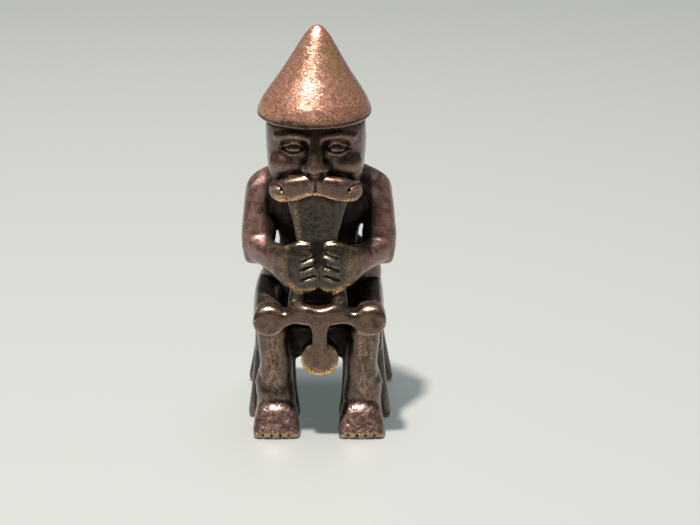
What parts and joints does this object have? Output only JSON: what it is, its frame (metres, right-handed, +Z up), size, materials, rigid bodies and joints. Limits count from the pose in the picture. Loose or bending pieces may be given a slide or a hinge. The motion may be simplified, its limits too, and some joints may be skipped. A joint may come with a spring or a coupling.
{
  "type": "seated bronze figurine",
  "caption": "Small cast bronze figurine of a seated bearded figure in a pointed hat, hands clasped on a long beard, cast in one with its stool.",
  "frame": {"origin": "centre of the footprint of the whole figurine, on the surface it stands on", "axes": "+Z up along the figure, -Y is its front, +X is its left hand side"},
  "size_m": [0.0254, 0.024, 0.067],
  "materials": {
    "bronze": "old cast bronze, satin brown patina, worn bright on the hands and edges"
  },
  "bodies": {
    "root": {"figurine": "bronze"}
  },
  "joints": []
}
